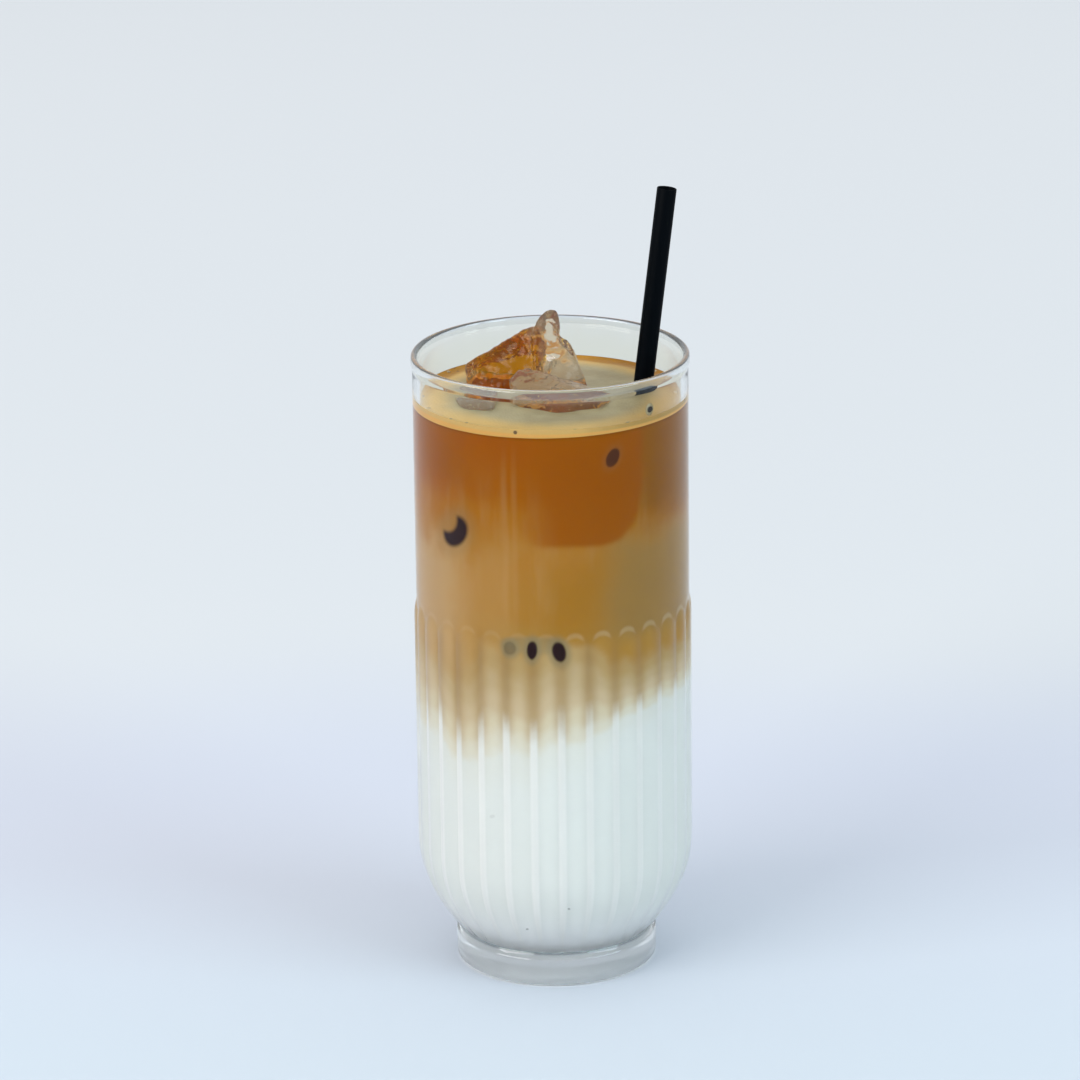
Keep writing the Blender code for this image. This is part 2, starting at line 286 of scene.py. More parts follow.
@dataclass(frozen=True)
class GlassForm:
    """The ribbed glass's sizes and profiles, shared by all that touches it."""

    height: float = 162.8
    rim_radius: float = 35.25
    band_radius: float = 35.0
    lip: float = 0.8
    bead_height: float = 2.4
    cavity_radius: float = 33.3
    lip_flare: float = 0.45
    floor_height: float = 9.6
    floor_radius: float = 12.0
    curve_top: float = 34.0
    crease_radius: float = 25.0
    crease_height: float = 9.1
    top_handle: float = 12.6
    crease_handle: float = 7.4
    crease_lean_deg: float = 31.0
    rib_count: int = 30
    rib_height: float = 0.6
    rib_full_top: float = 93.5
    rib_end_length: float = 4.8
    rib_crest_deg: float = 3.0
    rib_share_at_crease: float = 0.7
    rib_start_length: float = 2.6
    foot_radius: float = 26.0
    foot_shoulder: float = 1.0
    foot_rounding: float = 1.6
    rest_ring_inner: float = 20.5
    recess_radius: float = 18.5
    recess_depth: float = 1.2

    def lower_curve(self, pieces: int = 26) -> list[Point2]:
        """List the wall's outer points from the straight side down to the crease.

        Args:
            pieces: how many pieces the curve has.

        Returns:
            Radius and height of each point.
        """
        lean = math.radians(self.crease_lean_deg)
        start = Vector((self.band_radius, self.curve_top))
        end = Vector((self.crease_radius, self.crease_height))
        first = start - Vector((0.0, self.top_handle))
        second = end + self.crease_handle * Vector((math.sin(lean), math.cos(lean)))
        points = []
        for step in range(pieces + 1):
            t = step / pieces
            point = (1 - t) ** 3 * start + 3 * (1 - t) ** 2 * t * first
            point += 3 * (1 - t) * t**2 * second + t**3 * end
            points.append((point.x, point.y))
        return points

    def cavity(self, grow: float = 0.0, pieces: int = 24) -> list[Point2]:
        """List the inner wall's points from the straight side to the middle of the floor.

        Args:
            grow: how far the profile is pushed out into the glass.
            pieces: how many pieces the curve has.

        Returns:
            Radius and height of each point.
        """
        width = self.cavity_radius + grow - self.floor_radius
        depth = self.curve_top - self.floor_height + grow
        points = []
        for step in range(pieces + 1):
            angle = math.pi / 2 * step / pieces
            spot = self.floor_radius + width * math.cos(angle)
            points.append((spot, self.curve_top - depth * math.sin(angle)))
        return points + [(self.floor_radius / 2, points[-1][1]), (0.0, points[-1][1])]

    def rib_rise(self, azimuth_deg: float, height: float) -> float:
        """Give how far the ribs stand out of the band.

        Args:
            azimuth_deg: the angle round the axis from +X.
            height: the height above the table.

        Returns:
            The rise in millimetres.
        """
        if height < self.crease_height or height > self.rib_full_top + self.rib_end_length:
            return 0.0
        half_pitch = 180.0 / self.rib_count
        turn = azimuth_deg - self.rib_crest_deg + half_pitch
        across = (turn % (2 * half_pitch) - half_pitch) / half_pitch
        beyond = max(0.0, (height - self.rib_full_top) / self.rib_end_length)
        along = max(0.0, self.curve_top - height) / (self.curve_top - self.crease_height)
        share = 1.0 - (1.0 - self.rib_share_at_crease) * along
        share *= min(1.0, (height - self.crease_height) / self.rib_start_length)
        return self.rib_height * share * max(0.0, 1.0 - across**2 - beyond**2)


FORM = GlassForm()


def arc(centre: Point2, radius: float, start_deg: float, end_deg: float, pieces: int) -> list[Point2]:
    """List the points of an arc in a profile's plane.

    Args:
        centre: the arc's centre.
        radius: its radius.
        start_deg: the angle of its first point.
        end_deg: the angle of its last point.
        pieces: how many pieces it has.

    Returns:
        Radius and height of each point.
    """
    points = []
    for step in range(pieces + 1):
        angle = math.radians(start_deg + (end_deg - start_deg) * step / pieces)
        points.append((centre[0] + radius * math.cos(angle), centre[1] + radius * math.sin(angle)))
    return points


def spread(start: Point2, end: Point2, pieces: int) -> list[Point2]:
    """List evenly spaced points after a start, up to an end.

    Args:
        start: the place that the points leave from, which isn't listed.
        end: the last point.
        pieces: how many points.

    Returns:
        Radius and height of each point.
    """
    across, up = end[0] - start[0], end[1] - start[1]
    shares = [step / pieces for step in range(1, pieces + 1)]
    return [(start[0] + across * share, start[1] + up * share) for share in shares]


def turn_profile(profile: Iterable[Point2], steps: int) -> bmesh.types.BMesh:
    """Turn a profile round the glass's axis into a closed skin.

    Args:
        profile: radius and height of its points, in order.
        steps: steps for a full turn.

    Returns:
        The new mesh, in metres.
    """
    shape = bmesh.new()
    points = [shape.verts.new((radius * MM, 0.0, height * MM)) for radius, height in profile]
    edges = [shape.edges.new(pair) for pair in zip(points, points[1:])]
    bmesh.ops.spin(
        shape,
        geom=points + edges,
        cent=(0.0, 0.0, 0.0),
        axis=(0.0, 0.0, 1.0),
        angle=math.tau,
        steps=steps,
        use_merge=True,
    )
    bmesh.ops.remove_doubles(shape, verts=shape.verts, dist=MERGE_DISTANCE)
    bmesh.ops.recalc_face_normals(shape, faces=shape.faces)
    return shape


def link_object(name: str, data: bpy.types.ID) -> bpy.types.Object:
    """Make an object of some data and link it to the scene.

    Args:
        name: the object's name.
        data: its mesh, camera or light.

    Returns:
        The object.
    """
    item = bpy.data.objects.new(name, data)
    bpy.context.scene.collection.objects.link(item)
    return item


def to_object(
    name: str, shape: bmesh.types.BMesh, material: bpy.types.Material, sharp_deg: float = 50.0
) -> bpy.types.Object:
    """Make a smooth-shaded object from a mesh in the making.

    Args:
        name: the object's name.
        shape: the mesh, which is freed.
        material: its material.
        sharp_deg: edges steeper than this stay sharp.

    Returns:
        The object, linked to the scene.
    """
    mesh = bpy.data.meshes.new(name)
    shape.to_mesh(mesh)
    shape.free()
    mesh.materials.append(material)
    mesh.shade_smooth()
    mesh.set_sharp_from_angle(angle=math.radians(sharp_deg))
    return link_object(name, mesh)


def settle(item: bpy.types.Object, slot: Slot, *nodes: str) -> bpy.types.Object:
    """Hand a finished piece to the frame.

    Args:
        item: the piece.
        slot: its material slot; not used.
        nodes: the CAD nodes that it stands for.

    Returns:
        The piece.
    """
    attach(item, "root")
    if nodes:
        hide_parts(*nodes)
    return item


def apply_modifiers(item: bpy.types.Object) -> None:
    """Keep an object's evaluated mesh and drop its modifiers.

    Args:
        item: the object.
    """
    materials = list(item.data.materials)
    graph = bpy.context.evaluated_depsgraph_get()
    mesh = bpy.data.meshes.new_from_object(item.evaluated_get(graph))
    item.modifiers.clear()
    item.data = mesh
    mesh.materials.clear()
    for material in materials:
        mesh.materials.append(material)


# Finishes


@dataclass(frozen=True)
class GlassFinish:
    """Clear soda glass with a faint cool cast, a milky film where the drink has been, and a painted
    shade line at the foot's crease.
    """

    name: str = "clear_glass"
    tint: Colour = (0.985, 0.995, 0.992)
    film_tint: Colour = (0.8, 0.785, 0.64)
    film_heights: Span = (151.0, 168.0)
    film_radius: float = 34.0
    film_edge: Grain = Grain(110.0, 4.0, 0.6)
    film_rise: float = 6.0
    sheen: Colour = (0.16, 0.16, 0.16)
    clearness: float = 1.0
    # The next four fields paint a darker band at the foot's crease: painted shade.
    crease_shade_tint: Colour = (0.55, 0.63, 0.65)
    crease_shade_height: float = 9.0
    crease_shade_width: float = 0.6
    crease_shade_core: float = 0.3
    wave: Grain = Grain(60.0, 2.0, 0.4)
    wave_strength: float = 0.02
    wave_depth: float = 0.3
    ior: float = 1.5

    def make(self) -> bpy.types.Material:
        """Make the material.

        Returns:
            The material.
        """
        tree = Tree(self.name, self.tint)
        place = tree.place()
        z = tree.axes(place)["Z"]
        low, high = metres(self.film_heights)
        inside = tree.math("LESS_THAN", tree.radius(place), self.film_radius * MM)
        above = tree.math("GREATER_THAN", z, low)
        ragged = tree.product(tree.noise(place, self.film_edge), -self.film_rise * MM)
        fade = tree.step(tree.total(z, ragged), low, high, 1.0, 0.0)
        tree.cover(tree.product(inside, above, fade), self.film_tint)
        # Painted shade: a thin darker band at the height of the foot's crease.
        off_crease_shade = tree.math("ABSOLUTE", tree.math("SUBTRACT", z, self.crease_shade_height * MM))
        width = self.crease_shade_width * MM
        tree.cover(tree.step(off_crease_shade, width, width * self.crease_shade_core), self.crease_shade_tint)
        tree.bump(tree.noise(place, self.wave), self.wave_strength, self.wave_depth)
        return tree.finish(
            Roughness=0.0,
            IOR=self.ior,
            Transmission_Weight=self.clearness,
            Specular_Tint=self.sheen,
        )


# The lip's pale diffuse share is painted light, for the brightness that a real rim carries round inside
# the glass.
LIP_FINISH = GlassFinish(
    name="lip_painted_light",
    tint=(0.82, 0.85, 0.86),
    film_tint=(0.82, 0.85, 0.86),
    sheen=(1.0, 1.0, 1.0),
    clearness=0.93,
    crease_shade_tint=(0.82, 0.85, 0.86),
)
# The foot's pale diffuse share is painted light, for the light that the thick glass gathers under it,
# and its dark crease band is painted shade.
FOOT_FINISH = GlassFinish(
    name="foot_painted_light_and_shade",
    tint=(0.96, 0.99, 1.0),
    film_tint=(0.96, 0.99, 1.0),
    sheen=(0.8, 0.8, 0.8),
    clearness=0.89,
    crease_shade_tint=(0.36, 0.45, 0.48),
)


@dataclass(frozen=True)
class WallMark:
    """A dark dent where sunk ice touches the wall, or a speck in the drink."""

    azimuth_deg: float
    height: float
    width: float
    tall: float
    turn_deg: float = 0.0
    depth: float = 1.0
    halo: float = 1.0
    bite: Optional[Point3] = None


@dataclass(frozen=True)
class Cloud:
    """A soft-edged patch of another colour, with where it begins, is full, fades and ends."""

    azimuths_deg: Point4
    heights: Point4
    colour: Colour
    share: float


@dataclass(frozen=True)
class SunkIce:
    """The rounded outline of a block of ice that leans on the wall inside the drink."""

    azimuth_deg: float
    height: float
    half_width: float
    half_height: float
    share: float = 0.9


WALL_MARKS = (
    WallMark(-45.6, 123.2, 5.4, 3.9, 45.0, 1.0, 0.35, (-3.1, 3.1, 4.0)),
    WallMark(26.6, 144.0, 1.9, 2.8, -28.0, 0.8, 0.12),
    WallMark(-8.5, 95.9, 5.6, 1.6, 0.0, 0.0, 0.75),
    WallMark(-9.2, 94.6, 1.6, 2.7, -4.0, 1.0, 1.0),
    WallMark(2.3, 94.2, 2.0, 3.0, 14.0, 1.0, 1.0),
    WallMark(-18.8, 94.8, 1.8, 1.9, 0.0, 0.36, 1.0),
    WallMark(-15.1, 18.0, 0.45, 0.3, 20.0, 0.5, 0.0),
    WallMark(5.8, 24.6, 0.4, 0.3, -15.0, 0.45, 0.0),
    WallMark(-28.0, 49.0, 0.8, 0.5, 30.0, 0.12, 0.0),
    WallMark(112.0, 128.0, 2.2, 1.7, -20.0, 0.95, 1.0),
    WallMark(151.0, 97.0, 1.6, 2.4, 8.0, 1.0, 1.0),
    WallMark(164.0, 95.5, 1.4, 1.9, -12.0, 0.7, 1.0),
    WallMark(-128.0, 138.0, 1.6, 2.4, 24.0, 0.9, 0.9),
)

SUNK_ICE = (
    SunkIce(10.5, 141.0, 17.6, 19.5),
    SunkIce(124.0, 139.0, 13.0, 15.0, 0.7),
    SunkIce(-146.0, 134.0, 15.0, 20.0, 0.75),
)

CLOUDS_AND_REFLECTIONS = (
    Cloud((-112.0, -66.0, -52.0, -30.0), (80.0, 92.0, 112.0, 123.0), (0.615, 0.404, 0.19), 0.9),
    Cloud((-125.0, -66.0, -52.0, -30.0), (126.0, 142.0, 156.0, 160.0), (0.37, 0.11, 0.0), 0.85),
    Cloud((12.0, 34.0, 84.0, 120.0), (92.0, 100.0, 116.0, 128.0), (0.395, 0.241, 0.072), 0.8),
    Cloud((32.0, 48.0, 86.0, 126.0), (120.0, 131.0, 156.0, 160.0), (0.31, 0.117, 0.0), 0.85),
    Cloud((-8.0, 4.0, 14.0, 26.0), (94.0, 100.0, 112.0, 120.0), (0.44, 0.205, 0.016), 0.55),
    Cloud((-56.0, -40.0, -22.0, -12.0), (90.0, 98.0, 114.0, 124.0), (0.6, 0.35, 0.12), 0.45),
    # The next two narrow lighter stripes are painted reflections of a bright upright edge in the glass.
    Cloud((-22.6, -20.6, -20.0, -18.4), (100.0, 110.0, 136.0, 151.0), (0.615, 0.348, 0.126), 0.24),
    Cloud((-17.8, -16.4, -15.8, -14.0), (96.0, 108.0, 138.0, 151.0), (0.615, 0.348, 0.126), 0.2),
    Cloud((96.0, 122.0, 150.0, 174.0), (96.0, 104.0, 118.0, 130.0), (0.557, 0.329, 0.108), 0.8),
    Cloud((-174.0, -150.0, -128.0, -104.0), (90.0, 98.0, 108.0, 118.0), (0.414, 0.218, 0.045), 0.7),
)


class WallTree(Tree):
    """A material's tree with coordinates that run round and up the drink's side."""

    def __init__(self, name: str, wisp: Grain) -> None:
        """Start the material and its coordinates.

        Args:
            name: the material's name.
            wisp: the noise that makes soft edges ragged.
        """
        super().__init__(name)
        self.spot = self.place()
        axes = self.axes(self.spot)
        self.x = self.product(axes["X"], 1 / MM)
        self.z = self.product(axes["Z"], 1 / MM)
        self.turn = self.math("ARCTAN2", axes["X"], self.product(axes["Y"], -1.0))
        self.azimuth = self.math("DEGREES", self.turn)
        along = self.product(self.turn, FORM.cavity_radius)
        self.wall = self.add("ShaderNodeCombineXYZ", {"X": along, "Y": self.z}).outputs[0]
        self.wisps = self.sway(self.spot, wisp)


def wall_point(azimuth_deg: float, height: float) -> Point3:
    """Give a place on the unrolled inner wall, in millimetres."""
    return (math.radians(azimuth_deg) * FORM.cavity_radius, height, 0.0)


@dataclass(frozen=True)
class DrinkFinish:
    """The drink's side: milk that blends up through beige into dark coffee, with sunk ice behind,
    painted shade between the flutes, painted highlights on the flutes' ends and in thin lines in the
    milk, painted reflection stripes, and painted light that whitens the bottom.
    """

    stops: Stops = (
        (56.0, (0.848, 0.868, 0.838)),
        (65.0, (0.843, 0.853, 0.803)),
        (70.0, (0.813, 0.773, 0.645)),
        (75.0, (0.763, 0.674, 0.49)),
        (80.0, (0.694, 0.557, 0.357)),
        (86.0, (0.615, 0.471, 0.264)),
        (92.0, (0.548, 0.376, 0.163)),
        (98.0, (0.5, 0.274, 0.054)),
        (104.0, (0.5, 0.25, 0.04)),
        (119.0, (0.508, 0.238, 0.036)),
        (129.0, (0.47, 0.18, 0.008)),
        (137.0, (0.42, 0.126, 0.0)),
        (152.0, (0.405, 0.1, 0.0)),
    )
    swing: float = 6.5
    swing_azimuth_deg: float = -5.0
    swing_heights: Span = (100.0, 86.0)
    drop: float = 6.5
    drop_azimuths_deg: Point4 = (-120.0, -84.0, -60.0, -46.0)
    steepness: float = 1.2
    steep_height: float = 79.2
    steep_azimuths_deg: Point4 = (10.0, 38.0, 70.0, 120.0)
    broad_waver: Grain = Grain(42.0, 2.0)
    broad_reach: float = 7.0
    fine_waver: Grain = Grain(150.0, 3.0, 0.6)
    fine_reach: float = 5.0
    drip_waver: Grain = Grain(130.0, 1.0)
    drip_draw: float = 0.12
    drip_heights: Span = (100.0, 90.0)
    drip_reach: float = 8.0
    streak_colour: Colour = (0.62, 0.4, 0.17)
    streak_share: float = 0.22
    streaks: Grain = Grain(190.0, 3.0, 0.6)
    streak_draw: float = 0.2
    streak_edge: Span = (0.45, 0.75)
    streak_heights: Point4 = (92.0, 108.0, 128.0, 146.0)
    # Clouds of mixed coffee, with two painted reflection stripes among them.
    clouds: tuple[Cloud, ...] = CLOUDS_AND_REFLECTIONS
    wisp: Grain = Grain(85.0, 4.0, 0.6)
    wisp_reach: float = 14.0
    sunk: tuple[SunkIce, ...] = SUNK_ICE
    sunk_colour: Colour = (0.385, 0.106, 0.0)
    sunk_squareness: float = 3.4
    sunk_waver: float = 0.5
    sunk_edge: Span = (1.2, 0.8)
    sunk_left_edge: Span = (-1.0, -0.2)
    # Painted shade on the drink along the grooves between the flutes:
    groove_shade_colour: Colour = (0.46, 0.27, 0.08)
    groove_shade_share: float = 0.42
    groove_shade_edge_deg: Span = (5.6, 0.8)
    groove_shade_heights: Span = (98.0, 92.0)
    groove_shade_levels: Span = (66.0, 76.0)
    # Painted highlights along the flutes' rounded top ends:
    cap_highlight_colour: Colour = (0.86, 0.74, 0.5)
    cap_highlight_share: float = 0.24
    cap_highlight_edge: Span = (1.2, 0.2)
    cap_highlight_azimuths_deg: Span = (-20.0, 30.0)
    cap_highlight_left_share: float = 0.35
    cap_highlight_end_deg: Span = (1.2, 3.6)
    # Painted light that whitens the milk towards the bottom:
    bottom_light_colour: Colour = (1.0, 1.0, 1.0)
    bottom_light_heights: Span = (26.0, 11.0)
    # Painted highlights: thin light lines in the milk along the grooves.
    light_line_colour: Colour = (1.0, 1.0, 0.975)
    light_line_edge_deg: Span = (2.6, 1.2)
    light_line_levels: Span = (80.0, 68.0)
    light_line_heights: Span = (10.0, 16.0)
    light_line_azimuths_deg: Span = (18.0, -8.0)
    light_line_right_share: float = 0.75
    top_line_colour: Colour = (0.2, 0.06, 0.0)
    top_line_share: float = 0.5
    top_line_heights: Span = (149.5, 149.9)
    top_slope: float = 0.012
    marks: tuple[WallMark, ...] = WALL_MARKS
    mark_colour: Colour = (0.03, 0.012, 0.014)
    mark_edge: Span = (1.08, 0.72)
    bite_edge: Span = (0.75, 1.15)
    halo_colour: Colour = (0.34, 0.28, 0.15)
    halo_share: float = 0.75
    halo_edge: Span = (1.9, 0.9)

    def make(self) -> bpy.types.Material:
        """Make the material.

        Returns:
            The material.
        """
        tree = WallTree("layered_drink", self.wisp)
        level = self.level(tree)
        tree.colour = tree.ramp(level, self.stops)
        streaks = tree.noise(tree.drawn(tree.spot, self.streak_draw), self.streaks)
        streaks = tree.step(streaks, *self.streak_edge, 0.0, self.streak_share)
        streaks = tree.product(streaks, tree.window(tree.z, *self.streak_heights))
        tree.cover(streaks, self.streak_colour)
        for cloud in self.clouds:
            self.put_cloud(tree, cloud)
        for block in self.sunk:
            self.put_sunk_ice(tree, block)
        self.follow_grooves(tree, level)
        height = tree.total(tree.z, tree.product(tree.x, -self.top_slope))
        line = tree.step(height, *self.top_line_heights, 0.0, self.top_line_share)
        tree.cover(line, self.top_line_colour)
        for mark in self.marks:
            self.put_mark(tree, mark)
        return tree.finish(Roughness=0.35, Specular_IOR_Level=0.02)

    def level(self, tree: WallTree) -> Socket:
        """Give the height on the colour ramp, which swings round the glass and wavers.

        Args:
            tree: the material's tree.

        Returns:
            The level in millimetres.
        """
        phase = math.radians(self.swing_azimuth_deg)
        swing = tree.product(tree.math("SINE", tree.math("SUBTRACT", tree.turn, phase)), -self.swing)
        left = tree.product(tree.window(tree.azimuth, *self.drop_azimuths_deg), -self.drop)
        above = tree.math("SUBTRACT", tree.z, self.steep_height)
        right = tree.window(tree.azimuth, *self.steep_azimuths_deg)
        right = tree.product(above, self.steepness, right)
        tilt = tree.product(tree.total(swing, left, right), tree.step(tree.z, *self.swing_heights))
        broad = tree.product(tree.sway(tree.spot, self.broad_waver), self.broad_reach)
        fine = tree.product(tree.sway(tree.spot, self.fine_waver), self.fine_reach)
        drips = tree.sway(tree.drawn(tree.spot, self.drip_draw), self.drip_waver)
        drips = tree.product(drips, tree.step(tree.z, *self.drip_heights, 0.0, self.drip_reach))
        return tree.total(tree.z, tilt, broad, fine, drips)

    def put_cloud(self, tree: WallTree, cloud: Cloud) -> None:
        """Blend one cloud, or one painted reflection stripe, over the drink.

        Args:
            tree: the material's tree.
            cloud: the cloud.
        """
        reach_deg = min(self.wisp_reach, cloud.azimuths_deg[1] - cloud.azimuths_deg[0])
        across = tree.total(tree.azimuth, tree.product(tree.wisps, reach_deg))
        rise = tree.total(tree.z, tree.product(tree.wisps, self.wisp_reach))
        beside, level = tree.window(across, *cloud.azimuths_deg), tree.window(rise, *cloud.heights)
        tree.cover(tree.product(beside, level, cloud.share), cloud.colour)

    def put_sunk_ice(self, tree: WallTree, block: SunkIce) -> None:
        """Show the rounded dark outline of one block of ice near the wall.

        Args:
            tree: the material's tree.
            block: the block.
        """
        offset = tree.vector("SUBTRACT", tree.wall, wall_point(block.azimuth_deg, block.height))
        sizes = (block.half_width, block.half_height, 1.0)
        parts = tree.axes(tree.vector("DIVIDE", offset, sizes))
        sides = [tree.math("ABSOLUTE", parts[axis]) for axis in ("X", "Y")]
        powers = [tree.math("POWER", side, self.sunk_squareness) for side in sides]
        edge = tree.total(*powers, tree.product(tree.wisps, self.sunk_waver))
        left = tree.step(parts["X"], *self.sunk_left_edge)
        share = tree.product(tree.step(edge, *self.sunk_edge), block.share, left)
        tree.cover(share, self.sunk_colour)

    def follow_grooves(self, tree: WallTree, level: Socket) -> None:
        """Paint shade between the flutes, paint highlights on their ends, paint light into the milk
        towards the bottom, and paint thin light lines in the milk.

        Args:
            tree: the material's tree.
            level: the level on the colour ramp in millimetres.
        """
        half_pitch = 180.0 / FORM.rib_count
        turn = tree.math("SUBTRACT", tree.azimuth, FORM.rib_crest_deg)
        off = tree.math("PINGPONG", turn, half_pitch)
        # Painted shade: the beige drink darkens along each groove between the flutes.
        dark = tree.product(
            tree.step(off, *self.groove_shade_edge_deg, 0.0, self.groove_shade_share),
            tree.step(tree.z, *self.groove_shade_heights),
            tree.step(level, *self.groove_shade_levels),
        )
        tree.cover(dark, self.groove_shade_colour)
        # Painted highlight: a light arc along each flute's rounded top end.
        across = tree.math("SUBTRACT", 1.0, tree.math("DIVIDE", off, half_pitch))
        bow = tree.math("SQRT", tree.math("SUBTRACT", 1.0, tree.product(across, across)))
        end = tree.total(tree.product(bow, FORM.rib_end_length), FORM.rib_full_top)
        away = tree.math("ABSOLUTE", tree.math("SUBTRACT", tree.z, end))
        cap = tree.product(
            tree.step(away, *self.cap_highlight_edge, 0.0, self.cap_highlight_share),
            tree.step(tree.azimuth, *self.cap_highlight_azimuths_deg, self.cap_highlight_left_share, 1.0),
            tree.step(off, *self.cap_highlight_end_deg),
        )
        tree.cover(cap, self.cap_highlight_colour)
        # Painted light: the milk turns whiter towards the bottom, where light through the glass would
        # reach it.
        tree.cover(tree.step(tree.z, *self.bottom_light_heights), self.bottom_light_colour)
        # Painted highlights: thin light lines in the milk along the grooves, stronger on the left.
        lit = tree.product(
            tree.step(off, *self.light_line_edge_deg),
            tree.step(level, *self.light_line_levels),
            tree.step(tree.z, *self.light_line_heights),
            tree.step(tree.azimuth, *self.light_line_azimuths_deg, self.light_line_right_share, 1.0),
        )
        tree.cover(lit, self.light_line_colour)

    def put_mark(self, tree: WallTree, mark: WallMark) -> None:
        """Draw one dark mark with its halo.

        Args:
            tree: the material's tree.
            mark: the mark.
        """
        centre = wall_point(mark.azimuth_deg, mark.height)
        inputs = {
            "Vector": tree.wall,
            "Location": centre,
            "Rotation": (0.0, 0.0, math.radians(mark.turn_deg)),
            "Scale": (mark.width, mark.tall, 1.0),
        }
        local = tree.add("ShaderNodeMapping", inputs, vector_type="TEXTURE").outputs[0]
        reach = tree.distance(local)
        core = tree.step(reach, *self.mark_edge)
        if mark.bite is not None:
            shift_x, shift_y, radius = mark.bite
            away = tree.distance(tree.wall, (centre[0] + shift_x, centre[1] + shift_y, 0.0))
            core = tree.product(core, tree.step(away, *(radius * share for share in self.bite_edge)))
        if mark.halo > 0.0:
            glow = tree.product(tree.step(reach, *self.halo_edge), self.halo_share * mark.halo)
            tree.cover(glow, self.halo_colour)
        tree.cover(tree.product(core, mark.depth), self.mark_colour)


@dataclass(frozen=True)
class FoamFinish:
    """Thin coffee cream: greyish beige on top, warmer yellow at its edge, with fine bubbles."""

    top: Colour = (0.43, 0.37, 0.235)
    cloudy: Colour = (0.345, 0.29, 0.175)
    clouds: Grain = Grain(95.0, 4.0, 0.6)
    cloud_edge: Span = (0.38, 0.62)
    ragged: Grain = Grain(70.0, 4.0, 0.6)
    ragged_reach: float = 6.0
    edge: Colour = (0.77, 0.5, 0.165)
    edge_radii: Span = (25.5, 34.5)
    ring: Colour = (0.49, 0.23, 0.027)
    ring_radii: Span = (28.8, 31.0)
    ring_depths: Span = (-4.0, 12.0)
    shade: Colour = (0.7, 0.65, 0.5)
    shade_places: Span = (6.0, 26.0)
    side: Colour = (0.84, 0.47, 0.115)
    side_heights: Span = (151.6, 151.0)
    speck: Colour = (0.16, 0.09, 0.04)
    dot: Point3 = (-8.77, -32.3, 151.6)
    dot_radius: float = 0.5
    dot_edge: Span = (1.2, 0.7)
    hole_scale: float = 330.0
    hole_edge: Span = (0.16, 0.08)
    hole_share: float = 0.8
    hole_areas: Grain = Grain(160.0, 1.0)
    hole_area_edge: Span = (0.62, 0.7)
    bubble_scale: float = 1400.0
    swell: Grain = Grain(300.0, 3.0)
    relief: float = 0.25
    relief_depth: float = 0.3

    def make(self) -> bpy.types.Material:
        """Make the material.

        Returns:
            The material.
        """
        tree = Tree("coffee_cream", self.top)
        place = tree.place()
        axes = tree.axes(place)
        radius = tree.radius(place)
        tree.cover(tree.step(tree.noise(place, self.clouds), *self.cloud_edge), self.cloudy)
        ragged = tree.product(tree.noise(place, self.ragged), self.ragged_reach * MM)
        warm = tree.step(tree.total(radius, ragged), *metres(self.edge_radii))
        tree.cover(warm, self.edge)
        behind = tree.step(axes["Y"], *metres(self.ring_depths))
        ring = tree.step(radius, *metres(self.ring_radii))
        tree.cover(tree.product(ring, behind), self.ring)
        shaded = tree.step(tree.total(axes["X"], ragged), *metres(self.shade_places))
        tree.cover(shaded, self.shade, "MULTIPLY")
        tree.cover(tree.step(axes["Z"], *metres(self.side_heights)), self.side)
        away = tree.distance(place, metres(self.dot))
        away = tree.math("DIVIDE", away, self.dot_radius * MM)
        tree.cover(tree.step(away, *self.dot_edge), self.speck)
        areas = tree.step(tree.noise(place, self.hole_areas), *self.hole_area_edge)
        holes = tree.step(tree.cells(place, self.hole_scale), *self.hole_edge)
        tree.cover(tree.product(holes, areas, self.hole_share), self.speck)
        height = tree.total(tree.cells(place, self.bubble_scale), tree.noise(place, self.swell))
        tree.bump(height, self.relief, self.relief_depth)
        return tree.finish(Roughness=0.45, Specular_IOR_Level=0.25)


